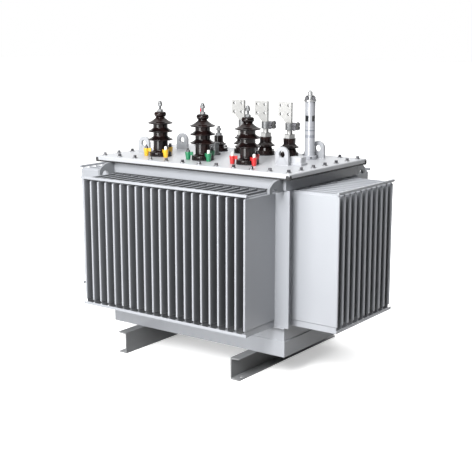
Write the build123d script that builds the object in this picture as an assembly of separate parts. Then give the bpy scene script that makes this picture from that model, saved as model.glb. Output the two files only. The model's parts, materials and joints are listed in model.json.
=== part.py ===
from build123d import *
import math
import os

# Oil-filled distribution transformer with a corrugated tank.
# Millimetres, +Z up, X along the long side, -Y is the front.
# The origin lies on the ground under the middle of the tank.

# Skid channels under the tank
channel_height = 100
channel_flange = 48
channel_web = 5.5
channel_lip = 8
channel_toe = 5
skid_inset = 200
skid_overhang = 116
skid_hole_radius = 9
skid_hole_from_back = 27
skid_hole_from_end = 42

# Tank body between the fins
tank_length = 1006
tank_width = 578
sheet = 4
post_sheet = 6
post_bend = 8
post_width = 47
post_depth = 53

# Base frame and trough
base_inset_x = 8
base_inset_y = 16
base_frame_height = 70
base_frame_sheet = 4
trough_height = 138
trough_sheet = 6
trough_rim = 5
trough_rim_overhang = 2

# Cooling fins
fin_height = 591
fin_pitch_front = 45
fin_depth_front = 221
fin_pitch_side = 46
fin_depth_side = 229
fin_thickness = 9
fin_fold_bevel = 2.8
fin_seam_thickness = 2.4
fin_seam_height = 16
strip_width = 12
strip_thickness = 3
strip_overhang = 9
strip_inset = 4

# Top frame, gasket and cover
fin_to_band = 5
band_height = 53
band_proud = 8
frame_flange = 10
frame_flange_inboard = 34
gasket_thickness = 6
cover_overhang_x = 42.5
cover_overhang_y = 35.5
cover_sheet = 6
cover_lip = 26
cover_bend = 7
cover_edge_clearance = 4
corner_relief_radius = 8

# Lifting lugs: distances of their middles from the cover's end and long edge, then the plate
lug_insets = {"front_left": (131.5, 200.5), "front_right": (183.5, 224.5),
              "rear_left": (179.5, 219.5), "rear_right": (181.5, 129.5)}
lug_width = 67
lug_height = 81
lug_thickness = 14
lug_hole_radius = 15
lug_hole_height = 48

# Lashing hooks under the cover's edge: from the tank's ends to the plates' left faces
hook_insets = {"left": 41, "right": 16}
hook_thickness = 12
hook_reach = 102
hook_over_fins = 1
hook_nose_drop = 30
hook_nose_rise = 9.5
hook_notch_radius = 19
hook_notch_reach = 64

# Glazed insulators in general
glaze_bevel = 3
shed_sag = 0.35

# High-voltage bushings
hv_from_left = 258.5
hv_from_right = 330.5
hv_from_front = 169.5
bushing_gasket = 4
hv_base_radius = 51
hv_base_height = 17
hv_shoulder_radius = 42
hv_flare_height = 15
hv_core_radius = 31
hv_shed_radius = 57.5
hv_shed_heights = (76, 115, 153)
hv_shed_edge = 5
hv_shed_rise = 13
hv_neck_radius = 21
hv_neck_height = 176
hv_neck_length = 3
hv_cap_radius = 28.5
hv_cap_round = 9
hv_cap_height = 203
hv_stud_radius = 6
hv_stud_top = 254
hv_nut_flats = 22
hv_nut_height = 11

# Claws that hold the high-voltage bushings down
claw_circle = 68
claw_angles = (90, 210, 330)
claw_cup_top_radius = 14
claw_cup_foot_radius = 10
claw_height = 36
claw_arm_width = 17
claw_bite = 6

# Low-voltage bushings
lv_middle_x = 88
lv_pitch = 134
lv_from_rear = 154.5
lv_base_radius = 42
lv_base_height = 17
lv_foot_radius = 35
lv_waist_radius = 27
lv_shed_radius = 44
lv_shed_height = 44
lv_shed_edge = 6
lv_shed_rise = 12
lv_core_radius = 27.5
lv_head_radius = 29.5
lv_core_height = 83
lv_nut_flats = 48
lv_nut_height = 18
lv_stud_radius = 13
lv_stud_height = 20
clamp_radius = 20
clamp_height = 33
clamp_ear_reach = 36
clamp_ear_depth = 22
clamp_ear_slot = 4
flag_width = 74
flag_height = 69
flag_thickness = 10
flag_offset = -25
flag_neck = 25
flag_corner = 18
flag_corner_rise = 4
flag_hole_radius = 7
flag_hole_spacing_x = 42
flag_hole_spacing_z = 41

# Neutral bushing
neutral_pitch = 142
neutral_from_rear = 158.5
neutral_base_radius = 44
neutral_base_height = 12
neutral_neck_radius = 27
neutral_shed_radius = 37
neutral_shed_height = 32
neutral_shed_edge = 6
neutral_shed_crown = 41
neutral_core_radius = 22
neutral_core_height = 71
neutral_stud_radius = 7
neutral_stud_top = 118
neutral_nut_flats = 26
neutral_nut_height = 12

# Oil-level gauge
gauge_inset = (200.5, 174.5)
gauge_flange_radius = 32
gauge_flange_height = 18
gauge_flange_bevel = 3
gauge_radius = 23.5
gauge_height = 262
gauge_window_width = 20
gauge_window_height = 27
gauge_window_low = 173
gauge_window_depth = 4
gauge_window_turn = -10
gauge_collar_radius = 28
gauge_collar_height = 10
gauge_cap_radius = 16
gauge_cap_height = 19
gauge_nipple_radius = 10.5
gauge_nipple_height = 22

# Off-load tap changer
tap_place = (-105, 32)
tap_flange_radius = 23
tap_flange_height = 9
tap_body_radius = 15
tap_body_height = 50
tap_knob_radius = 18
tap_knob_height = 8
tap_handle_reach = 36
tap_handle_bar = 5
tap_handle_drop = 26

# Thermometer pocket housing beside the front right lug
pocket_inset = (134.5, 272.5)
pocket_length = 60
pocket_width = 44
pocket_height = 36
pocket_rim = 4
pocket_rim_height = 10

# Faces and widths that follow from the sizes above
front_face = tank_width / 2
side_face = tank_length / 2
channel_web_x = side_face - skid_inset
channel_length = tank_width + 2 * skid_overhang
base_length = tank_length - 2 * base_inset_x
base_width = tank_width - 2 * base_inset_y
front_bank_width = tank_length - 2 * post_width
side_bank_width = tank_width - 2 * post_depth
fin_count_front = int((front_bank_width - fin_thickness) // fin_pitch_front) + 1
fin_count_side = int((side_bank_width - fin_thickness) // fin_pitch_side) + 1
band_wall = band_proud + sheet
band_face_y = front_face + band_proud
cover_length = tank_length + 2 * cover_overhang_x
cover_width = tank_width + 2 * cover_overhang_y
flange_half_length = cover_length / 2 - cover_sheet - cover_edge_clearance
flange_half_width = cover_width / 2 - cover_sheet - cover_edge_clearance

# Heights above the ground
fin_bottom = channel_height + trough_height
fin_top = fin_bottom + fin_height
band_bottom = fin_top + fin_to_band
frame_under = band_bottom + band_height
frame_top = frame_under + frame_flange
cover_under = frame_top + gasket_thickness
cover_top = cover_under + cover_sheet
hook_top = cover_top - cover_lip
hook_bottom = fin_top + hook_over_fins
bushing_seat = cover_top + bushing_gasket


def from_corner(corner, inset):
    """A place on the cover, measured in from the corner with the given name."""
    x = cover_length / 2 - inset[0]
    y = cover_width / 2 - inset[1]
    return (x if corner.endswith("right") else -x, y if corner.startswith("rear") else -y)


# Places on the cover
lug_places = {corner: from_corner(corner, inset) for corner, inset in lug_insets.items()}
hook_places = {"left": -side_face + hook_insets["left"], "right": side_face - hook_insets["right"]}
hv_y = -cover_width / 2 + hv_from_front
hv_first_x = -cover_length / 2 + hv_from_left
hv_pitch = (cover_length - hv_from_left - hv_from_right) / 2
hv_places = {phase: (hv_first_x + i * hv_pitch, hv_y) for i, phase in enumerate("abc")}
lv_y = cover_width / 2 - lv_from_rear
lv_places = {phase: (lv_middle_x + (i - 1) * lv_pitch, lv_y) for i, phase in enumerate("abc")}
neutral_place = (lv_places["a"][0] - neutral_pitch, cover_width / 2 - neutral_from_rear)
gauge_place = from_corner("rear_right", gauge_inset)
pocket_place = from_corner("front_right", pocket_inset)

os.makedirs("parts", exist_ok=True)


def save(node, shape):
    export_step(shape, f"parts/{node}.step")


def block(x_low, x_high, y_low, y_high, z_low, z_high):
    """A rectangular solid between two opposite corners."""
    centre = Pos((x_low + x_high) / 2, (y_low + y_high) / 2, (z_low + z_high) / 2)
    return centre * Box(x_high - x_low, y_high - y_low, z_high - z_low)


def centred_block(length, width, z_low, z_high):
    return block(-length / 2, length / 2, -width / 2, width / 2, z_low, z_high)


def disc(radius, z_low, z_high):
    return Pos(0, 0, (z_low + z_high) / 2) * Cylinder(radius, z_high - z_low)


def hexagon(flats, z_low, z_high):
    """A hexagonal nut given by the distance across its flats."""
    outline = RegularPolygon(flats / math.sqrt(3), 6, major_radius=True)
    return Pos(0, 0, z_low) * extrude(outline, z_high - z_low)


def turned(profile):
    """A body of revolution about Z from the corners of its profile, as radius and height."""
    return revolve(Plane.XZ * make_face(Polyline(*profile, close=True)), Axis.Z)


def side_plate(outline, thickness):
    """A plate whose outline is drawn in Y and Z and which grows towards +X."""
    return extrude(Plane.YZ * outline, thickness)


def front_plate(outline, y_front, thickness):
    """A plate whose outline is drawn in X and Z, with its front at y_front."""
    return Pos(0, y_front + thickness, 0) * extrude(Plane.XZ * outline, thickness)


# Skids: rolled channels, open side outwards, drilled at both ends

def skid_channel():
    """The right-hand channel, with tapered inner faces on its flanges."""
    section = Polyline((0, 0), (channel_flange, 0), (channel_flange, channel_toe),
                       (channel_web, channel_lip),
                       (channel_web, channel_height - channel_lip),
                       (channel_flange, channel_height - channel_toe),
                       (channel_flange, channel_height), (0, channel_height), close=True)
    bar = extrude(Plane.XZ * make_face(section), channel_length / 2, both=True)
    for end in (-1, 1):
        hole_y = end * (channel_length / 2 - skid_hole_from_end)
        hole = Pos(skid_hole_from_back, hole_y, channel_lip / 2)
        bar -= hole * Cylinder(skid_hole_radius, 2 * channel_lip)
    return Pos(channel_web_x, 0, 0) * bar


right_skid = skid_channel()
save("skid_right", right_skid)
save("skid_left", mirror(right_skid, Plane.YZ))


# Base frame and trough

def ring(length, width, wall, z_low, z_high):
    """A rectangular frame of plates standing on edge."""
    outer = centred_block(length, width, z_low, z_high)
    return outer - centred_block(length - 2 * wall, width - 2 * wall, z_low, z_high)


save("base_frame", ring(base_length, base_width, base_frame_sheet,
                        channel_height, channel_height + base_frame_height))

trough_length = base_length - 2 * base_frame_sheet
trough_width = base_width - 2 * base_frame_sheet
trough = centred_block(trough_length, trough_width, channel_height, fin_bottom)
trough -= centred_block(trough_length - 2 * trough_sheet, trough_width - 2 * trough_sheet,
                        channel_height + trough_sheet, fin_bottom)
trough += ring(tank_length + 2 * trough_rim_overhang, tank_width + 2 * trough_rim_overhang,
               (tank_width - trough_width) / 2 + trough_rim_overhang + trough_sheet,
               fin_bottom - trough_rim, fin_bottom)
save("tank_trough", trough)


# Corrugated walls: a sheet folded into deep fins, pressed flat and welded at both ends

def fin(depth):
    """One fin, centred on X, growing from y = 0 towards -Y."""
    half = fin_thickness / 2
    seam = fin_seam_thickness / 2
    shoulder_low = fin_bottom + fin_seam_height
    shoulder_high = fin_top - fin_seam_height
    front = make_face(Polyline((-seam, fin_bottom), (seam, fin_bottom), (half, shoulder_low),
                               (half, shoulder_high), (seam, fin_top), (-seam, fin_top),
                               (-half, shoulder_high), (-half, shoulder_low), close=True))
    plan = Rectangle(fin_thickness, depth)
    plan = chamfer(plan.vertices().sort_by(Axis.Y)[:2], fin_fold_bevel)
    plan_body = Pos(0, -depth / 2, fin_bottom) * extrude(plan, fin_top - fin_bottom)
    return front_plate(front, -depth, depth) & plan_body


def fin_wall(bank_width, pitch, count, depth):
    """A wall sheet with its outer face at y = 0 and its fins in front of it."""
    single = fin(depth)
    wall = block(-bank_width / 2, bank_width / 2, 0, sheet, fin_bottom, band_bottom)
    fins = [Pos((i - (count - 1) / 2) * pitch, 0, 0) * single for i in range(count)]
    return wall.fuse(*fins)


def tie_strips(pitch, count, depth):
    """Flat bars welded across the outer folds, near the top and the bottom."""
    half_length = (count - 1) / 2 * pitch + fin_thickness / 2 + strip_overhang
    low = fin_bottom + strip_inset
    high = fin_top - strip_inset - strip_width
    return [block(-half_length, half_length, -depth - strip_thickness, -depth, z, z + strip_width)
            for z in (low, high)]


front_wall = fin_wall(front_bank_width, fin_pitch_front, fin_count_front, fin_depth_front)
side_wall = fin_wall(side_bank_width, fin_pitch_side, fin_count_side, fin_depth_side)
front_strips = tie_strips(fin_pitch_front, fin_count_front, fin_depth_front)
side_strips = tie_strips(fin_pitch_side, fin_count_side, fin_depth_side)
bank_frames = {"front": Pos(0, -front_face, 0), "rear": Rot(0, 0, 180) * Pos(0, -front_face, 0),
               "right": Rot(0, 0, 90) * Pos(0, -side_face, 0),
               "left": Rot(0, 0, -90) * Pos(0, -side_face, 0)}
strips = []
for bank, place in bank_frames.items():
    long_side = bank in ("front", "rear")
    save(f"fin_wall_{bank}", place * (front_wall if long_side else side_wall))
    strips += [place * strip for strip in (front_strips if long_side else side_strips)]
save("fin_tie_strips", Compound(strips))


# Corner posts: plain sheet bent round the corner between two fin walls

def corner_post():
    """The front right post, an angle with a rounded outer bend."""
    x_inner = front_bank_width / 2
    y_inner = -side_bank_width / 2
    outline = Polyline((x_inner, -front_face), (side_face, -front_face), (side_face, y_inner),
                       (side_face - post_sheet, y_inner),
                       (side_face - post_sheet, -front_face + post_sheet),
                       (x_inner, -front_face + post_sheet), close=True)
    face = make_face(outline)
    outer = face.vertices().sort_by_distance((side_face, -front_face, 0))[0]
    face = fillet(outer, post_bend)
    return Pos(0, 0, fin_bottom) * extrude(face, band_bottom - fin_bottom)


def four_corners(front_right):
    """The same piece at the four corners of the tank."""
    front_left = mirror(front_right, Plane.YZ)
    return {"front_right": front_right, "front_left": front_left,
            "rear_right": mirror(front_right, Plane.XZ),
            "rear_left": mirror(front_left, Plane.XZ)}


for corner, post in four_corners(corner_post()).items():
    save(f"corner_post_{corner}", post)


# Top frame: a band standing on the walls that carries the flat flange for the cover

def cover_seat(z_low, z_high):
    """A flat rectangular frame under the edge of the cover."""
    opening = centred_block(2 * (side_face - frame_flange_inboard),
                            2 * (front_face - frame_flange_inboard), z_low, z_high)
    return centred_block(2 * flange_half_length, 2 * flange_half_width, z_low, z_high) - opening


band = ring(2 * (side_face + band_proud), 2 * band_face_y, band_wall, band_bottom, frame_under)
save("top_frame", band + cover_seat(frame_under, frame_top))
save("cover_gasket", cover_seat(frame_top, cover_under))


def cover_tray():
    """The cover: a plate with its four edges folded down and a relief at each corner."""
    outer = centred_block(cover_length, cover_width, cover_top - cover_lip, cover_top)
    top_edges = outer.edges().group_by(Axis.Z)[-1]
    outer = fillet(top_edges, cover_bend)
    inner = centred_block(cover_length - 2 * cover_sheet, cover_width - 2 * cover_sheet,
                          cover_top - cover_lip, cover_under)
    tray = outer - inner
    for sx in (-1, 1):
        for sy in (-1, 1):
            corner = Pos(sx * cover_length / 2, sy * cover_width / 2, cover_top - cover_lip)
            tray -= corner * Cylinder(corner_relief_radius, cover_lip)
    return tray


save("cover", cover_tray())


# Lifting lugs on the cover

def lifting_lug():
    """A plate with a round head, drilled for a shackle, standing on z = 0."""
    head_centre = lug_height - lug_width / 2
    outline = (Pos(0, head_centre / 2) * Rectangle(lug_width, head_centre)
               + Pos(0, head_centre) * Circle(lug_width / 2)
               - Pos(0, lug_hole_height) * Circle(lug_hole_radius))
    return front_plate(outline, -lug_thickness / 2, lug_thickness)


for corner, (x, y) in lug_places.items():
    save(f"lifting_lug_{corner}", Pos(x, y, cover_top) * lifting_lug())


# Lashing hooks on the top frame, with a notch open downwards

def lashing_hook():
    """A hooked plate in Y and Z whose root is at y = 0; it reaches towards -Y."""
    shoulder = (band_face_y - cover_width / 2, 0)
    nose = (-hook_reach, -hook_nose_drop)
    tip = hook_bottom - hook_top
    outline = make_face(Wire([
        Line((0, 0), shoulder),
        SagittaArc(shoulder, nose, -hook_nose_rise),
        Line(nose, (-hook_reach, tip)),
        Line((-hook_reach, tip), (0, tip)),
        Line((0, tip), (0, 0))]))
    notch = Pos(-hook_notch_reach, tip) * Circle(hook_notch_radius)
    return side_plate(outline - notch, hook_thickness)


for side, x in hook_places.items():
    front_hook = Pos(x, -band_face_y, hook_top) * lashing_hook()
    save(f"lashing_hook_front_{side}", front_hook)
    save(f"lashing_hook_rear_{side}", mirror(front_hook, Plane.XZ))


# Glazed insulators: bodies of revolution with sheds

def shed(core, tip, height, edge, crown):
    """Profile of one shed: its underside, its tip at the given height and a hollow roof up to
    the crown, which is a radius and a height."""
    halfway = ((tip + crown[0]) / 2, height + shed_sag * (crown[1] - height))
    return [(core, height - edge), (tip, height - edge / 2), (tip, height), halfway, crown]


def base_block(radius, height):
    """Profile of the thick disc at an insulator's foot, with its upper edge bevelled."""
    return [(0, 0), (radius, 0), (radius, height - glaze_bevel), (radius - glaze_bevel, height)]


# High-voltage bushings

def hv_porcelain():
    """A base block, a flared shoulder, a core with three sheds, a neck and a rounded cap."""
    profile = base_block(hv_base_radius, hv_base_height)
    profile += [(hv_shoulder_radius, hv_base_height),
                (hv_core_radius, hv_base_height + hv_flare_height)]
    for height in hv_shed_heights:
        top_shed = height == hv_shed_heights[-1]
        crown = (hv_neck_radius, hv_neck_height) if top_shed else (hv_core_radius,
                                                                   height + hv_shed_rise)
        profile += shed(hv_core_radius, hv_shed_radius, height, hv_shed_edge, crown)
    cap_low = hv_neck_height + hv_neck_length
    profile += [(hv_neck_radius, cap_low), (0, cap_low)]
    cap = disc(hv_cap_radius, cap_low, hv_cap_height)
    cap = fillet(cap.edges().filter_by(GeomType.CIRCLE), hv_cap_round)
    return turned(profile) + cap


def hv_terminal():
    """The threaded stud with the nut that closes the top of the porcelain."""
    nut = hexagon(hv_nut_flats, hv_cap_height, hv_cap_height + hv_nut_height)
    return nut + disc(hv_stud_radius, hv_cap_height, hv_stud_top)


def claw():
    """One claw in the XZ plane: a cup over its bolt and an arm that rests on the shoulder."""
    cup = Cone(claw_cup_foot_radius, claw_cup_top_radius, claw_height,
               align=(Align.CENTER, Align.CENTER, Align.MIN))
    arm_end = hv_base_radius - claw_bite - claw_circle
    arm = block(arm_end, 0, -claw_arm_width / 2, claw_arm_width / 2,
                bushing_gasket + hv_base_height, claw_height)
    return Pos(claw_circle, 0, 0) * (cup + arm)


gasket_discs = []
for phase, (x, y) in hv_places.items():
    place = Pos(x, y, bushing_seat)
    save(f"hv_porcelain_{phase}", place * hv_porcelain())
    save(f"hv_terminal_{phase}", place * hv_terminal())
    claws = [Pos(x, y, cover_top) * Rot(0, 0, angle) * claw() for angle in claw_angles]
    save(f"hv_claws_{phase}", Compound(claws))
    gasket_discs.append(Pos(x, y, cover_top) * disc(hv_base_radius, 0, bushing_gasket))


# Low-voltage bushings with flag terminals, and the neutral

def lv_porcelain():
    """A base block, a foot that tapers to a waist, one shed and a head that widens upwards."""
    waist = lv_shed_height - lv_shed_edge
    profile = base_block(lv_base_radius, lv_base_height)
    profile += [(lv_foot_radius, lv_base_height), (lv_waist_radius, waist)]
    profile += shed(lv_waist_radius, lv_shed_radius, lv_shed_height, lv_shed_edge,
                    (lv_core_radius, lv_shed_height + lv_shed_rise))[1:]
    profile += [(lv_head_radius, lv_core_height), (0, lv_core_height)]
    return turned(profile)


def split_clamp(z_low, z_high):
    """The barrel that grips the stud, with a slotted ear for its two bolts."""
    ear = block(0, clamp_ear_reach, 0, clamp_ear_depth, z_low, z_high)
    slot_low = (clamp_ear_depth - clamp_ear_slot) / 2
    ear -= block(clamp_radius, clamp_ear_reach, slot_low, slot_low + clamp_ear_slot,
                 z_low, z_high)
    return disc(clamp_radius, z_low, z_high) + ear


def flag_terminal():
    """Nut, stud, split clamp and the drilled flag that takes the cable lugs."""
    nut_top = lv_core_height + lv_nut_height
    clamp_low = nut_top + lv_stud_height
    clamp_top = clamp_low + clamp_height
    flag_low = clamp_top + flag_neck
    flag_top = flag_low + flag_height
    left = flag_offset - flag_width / 2
    right = flag_offset + flag_width / 2
    outline = make_face(Polyline(
        (-clamp_radius, clamp_top), (-clamp_radius / 2, clamp_low), (right, clamp_low),
        (right, flag_top), (left, flag_top), (left, flag_low + flag_corner_rise),
        (left + flag_corner, flag_low), close=True))
    for sx in (-1, 1):
        for sz in (-1, 1):
            hole = Pos(flag_offset + sx * flag_hole_spacing_x / 2,
                       (flag_low + flag_top + sz * flag_hole_spacing_z) / 2)
            outline -= hole * Circle(flag_hole_radius)
    terminal = hexagon(lv_nut_flats, lv_core_height, nut_top)
    terminal += disc(lv_stud_radius, lv_core_height, clamp_low)
    terminal += split_clamp(clamp_low, clamp_top)
    return terminal + front_plate(outline, -flag_thickness / 2, flag_thickness)


def neutral_porcelain():
    """The smaller neutral insulator: a thin base, a neck and one shed."""
    profile = base_block(neutral_base_radius, neutral_base_height)
    profile.append((neutral_neck_radius, neutral_base_height))
    profile += shed(neutral_neck_radius, neutral_shed_radius, neutral_shed_height,
                    neutral_shed_edge, (neutral_core_radius, neutral_shed_crown))
    profile += [(neutral_core_radius, neutral_core_height), (0, neutral_core_height)]
    return turned(profile)


def neutral_terminal():
    nut = hexagon(neutral_nut_flats, neutral_core_height,
                  neutral_core_height + neutral_nut_height)
    return nut + disc(neutral_stud_radius, neutral_core_height, neutral_stud_top)


for phase, (x, y) in lv_places.items():
    place = Pos(x, y, bushing_seat)
    save(f"lv_porcelain_{phase}", place * lv_porcelain())
    save(f"lv_flag_terminal_{phase}", place * flag_terminal())
    gasket_discs.append(Pos(x, y, cover_top) * disc(lv_base_radius, 0, bushing_gasket))

neutral_seat = Pos(neutral_place[0], neutral_place[1], bushing_seat)
save("neutral_porcelain", neutral_seat * neutral_porcelain())
save("neutral_terminal", neutral_seat * neutral_terminal())
gasket_discs.append(Pos(neutral_place[0], neutral_place[1], cover_top)
                    * disc(neutral_base_radius, 0, bushing_gasket))
save("bushing_gaskets", Compound(gasket_discs))


# Oil-level gauge: a tube with four sight windows and a filler cap

def gauge_tube():
    """The tube on its flange, with four shallow windows round its upper half."""
    flange = disc(gauge_flange_radius, 0, gauge_flange_height)
    flange = chamfer(flange.edges().group_by(Axis.Z)[-1], gauge_flange_bevel)
    tube = flange + disc(gauge_radius, 0, gauge_height)
    window = block(gauge_radius - gauge_window_depth, gauge_radius + gauge_window_depth,
                   -gauge_window_width / 2, gauge_window_width / 2,
                   gauge_window_low, gauge_window_low + gauge_window_height)
    for quarter in range(4):
        tube -= Rot(0, 0, 90 * quarter + gauge_window_turn) * window
    return tube


def gauge_cap():
    """A collar, the cap and the filler nipple, one above the other."""
    collar_top = gauge_height + gauge_collar_height
    cap_top = collar_top + gauge_cap_height
    cap = disc(gauge_collar_radius, gauge_height, collar_top)
    cap += disc(gauge_cap_radius, collar_top, cap_top)
    return cap + disc(gauge_nipple_radius, cap_top, cap_top + gauge_nipple_height)


gauge_seat = Pos(gauge_place[0], gauge_place[1], cover_top)
save("gauge_tube", gauge_seat * gauge_tube())
save("gauge_cap", gauge_seat * gauge_cap())


# Tap changer with its turning handle

def tap_handle(z_top):
    """A flat bar bent to an open loop on the left of the body."""
    reach = tap_handle_reach - tap_body_radius + tap_handle_bar / 2
    corner = (Align.MIN, Align.MAX)
    loop = Rectangle(reach, tap_handle_drop, align=corner)
    loop = chamfer(loop.vertices().group_by(Axis.X)[0], tap_handle_bar)
    loop -= Pos(tap_handle_bar, -tap_handle_bar) * Rectangle(
        reach, tap_handle_drop - 2 * tap_handle_bar, align=corner)
    return front_plate(Pos(-tap_handle_reach, z_top) * loop, -tap_handle_bar / 2, tap_handle_bar)


def tap_changer():
    knob_low = tap_flange_height + tap_body_height - tap_knob_height
    body = disc(tap_flange_radius, 0, tap_flange_height)
    body += disc(tap_body_radius, tap_flange_height, knob_low)
    body += disc(tap_knob_radius, knob_low, knob_low + tap_knob_height)
    return body + tap_handle(knob_low)


save("tap_changer", Pos(tap_place[0], tap_place[1], cover_top) * tap_changer())


# Thermometer pocket housing: a low box on a wider foot

pocket = centred_block(pocket_length, pocket_width, 0, pocket_height)
pocket = chamfer(pocket.edges().filter_by(Axis.Z), pocket_rim)
pocket += centred_block(pocket_length + 2 * pocket_rim, pocket_width + 2 * pocket_rim,
                        0, pocket_rim_height)
save("thermometer_pocket", Pos(pocket_place[0], pocket_place[1], cover_top) * pocket)
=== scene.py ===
# %% [markdown]
# # Dressing an oil-filled distribution transformer
#
# The CAD model gives every plate, fin and insulator its exact place. This lesson puts the last layer on
# top of it: the folded sheet of the fins, glazed porcelain, bolts, weld beads, paint and studio light.
# The CAD model is loaded as a fixed frame. Nothing in it is moved. A piece that needs finer form than the
# CAD has is worked out again here as a surface and stands in for its CAD node.

# %% Load the frame
import json
import math

import bmesh
import bpy
import numpy as np
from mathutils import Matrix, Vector


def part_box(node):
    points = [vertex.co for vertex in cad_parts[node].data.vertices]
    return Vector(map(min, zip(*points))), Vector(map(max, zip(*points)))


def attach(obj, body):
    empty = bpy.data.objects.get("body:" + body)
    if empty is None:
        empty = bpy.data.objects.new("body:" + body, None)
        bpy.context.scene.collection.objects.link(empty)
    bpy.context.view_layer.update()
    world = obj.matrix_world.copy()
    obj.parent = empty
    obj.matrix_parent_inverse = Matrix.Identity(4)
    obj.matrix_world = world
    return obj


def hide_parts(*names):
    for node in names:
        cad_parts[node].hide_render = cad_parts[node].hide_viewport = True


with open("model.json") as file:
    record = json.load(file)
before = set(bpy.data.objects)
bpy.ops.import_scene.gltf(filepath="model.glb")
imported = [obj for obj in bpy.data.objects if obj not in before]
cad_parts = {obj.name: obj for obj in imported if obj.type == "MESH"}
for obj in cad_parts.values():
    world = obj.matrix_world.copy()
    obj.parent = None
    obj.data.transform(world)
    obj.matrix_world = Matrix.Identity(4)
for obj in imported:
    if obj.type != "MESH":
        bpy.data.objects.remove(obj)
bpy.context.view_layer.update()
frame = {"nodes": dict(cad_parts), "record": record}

# %% [markdown]
# ## Where things are
#
# Every place is read from the frame, so a changed CAD size moves the dressing with it. Only the shape of
# a detail that the frame lacks, such as a bolt head, gets its own measure. Lengths are in metres, and MM
# turns a millimetre measure into them.

# %% Places read from the frame
MM = 0.001


def low_corner(node):
    """The smallest x, y and z of a node's box."""
    return np.array(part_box(node)[0])


def high_corner(node):
    """The largest x, y and z of a node's box."""
    return np.array(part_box(node)[1])


def foot(node):
    """The middle of a node's box in plan, at its lowest height."""
    low, high = low_corner(node), high_corner(node)
    return np.array([(low[0] + high[0]) / 2, (low[1] + high[1]) / 2, low[2]])


cover_top = high_corner("cover")[2]
cover_half = (high_corner("cover") - low_corner("cover"))[:2] / 2
phases = ("a", "b", "c")
corners = ("front_left", "front_right", "rear_left", "rear_right")
hv_axes = np.array([foot(f"hv_porcelain_{phase}") for phase in phases])
lv_axes = np.array([foot(f"lv_porcelain_{phase}") for phase in phases])
print("cover top at", round(cover_top, 3), "bushing seats at", hv_axes.round(3).tolist())

# %% [markdown]
# ## Surfaces as arrays
#
# A mesh is two arrays: points, and faces that name four points each. If the points come as a grid, the
# faces follow from the grid's own order, so a shape is only a formula for the points. One function turns
# a grid into faces, one joins surfaces, one turns them over, and one repeats a surface at many places. All
# work on whole arrays, which is short to read and fast to run.

# %% Grid and joint


def sheet(points, wrap_u=False, wrap_v=False):
    """Faces between the neighbours of a grid of points, shape (u, v, 3); a wrapped side meets its start."""
    count_u, count_v = points.shape[:2]
    index = np.arange(count_u * count_v).reshape(count_u, count_v)
    if wrap_u:
        index = np.vstack([index, index[:1]])
    if wrap_v:
        index = np.hstack([index, index[:, :1]])
    faces = np.stack([index[:-1, :-1], index[1:, :-1], index[1:, 1:], index[:-1, 1:]], -1)
    return points.reshape(-1, 3), faces.reshape(-1, 4)


def joined(*surfaces):
    """One surface from several: each face list is shifted by the points that come before it."""
    point_lists, face_lists = zip(*surfaces)
    starts = np.cumsum([0] + [len(points) for points in point_lists[:-1]])
    faces = np.concatenate([faces + start for faces, start in zip(face_lists, starts)])
    return np.concatenate(point_lists), faces


def turned_over(surface):
    """The same surface with its faces looking the other way: each face names its points in reverse."""
    points, faces = surface
    return points, faces[:, ::-1]


square = sheet(np.array([[[0, 0, 0], [0, 1, 0]], [[1, 0, 0], [1, 1, 0]]], float))
print("a square has", len(square[0]), "points and", len(square[1]), "face")

# %% Copies and laid surfaces


def copies(surface, places, turns=0.0):
    """A surface repeated: turned about Z by each angle, x' = x cos a - y sin a and y' = x sin a + y cos a,
    then moved to each place."""
    points, faces = surface
    places = np.atleast_2d(places)
    angle = np.broadcast_to(turns, len(places))[:, None]
    x = np.cos(angle) * points[:, 0] - np.sin(angle) * points[:, 1]
    y = np.sin(angle) * points[:, 0] + np.cos(angle) * points[:, 1]
    z = np.broadcast_to(points[:, 2], x.shape)
    moved = np.stack([x, y, z], -1) + places[:, None]
    shift = np.arange(len(places))[:, None, None] * len(points)
    return moved.reshape(-1, 3), (faces + shift).reshape(-1, 4)


def laid_along(surface, axis):
    """A surface made standing on Z, laid down so that its Z points along the given horizontal unit axis."""
    points, faces = surface
    out = np.array([axis[0], axis[1], 0.0])
    side = np.array([-axis[1], axis[0], 0.0])
    up = np.array([0.0, 0.0, 1.0])
    return points @ np.stack([side, up, out]), faces


three_squares = copies(square, [[0, 0, 0], [2, 0, 0], [4, 0, 0]])
print("three copies of it have", len(three_squares[0]), "points and", len(three_squares[1]), "faces")

# %% [markdown]
# ## From arrays to a Blender object
#
# `foreach_set` copies whole arrays into a mesh. Points that lie on each other, as at the pole of a turned
# form, are merged. On a plain closed piece Blender can tell the outside from the inside, so it turns every
# face outwards. On an open pane, or where folds touch, it can only guess, so such a piece is drawn looking
# outwards and keeps its faces. Edges sharper than a set angle stay crisp and the rest is shaded smooth.

# %% Make a piece
same_place = 1e-6


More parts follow.
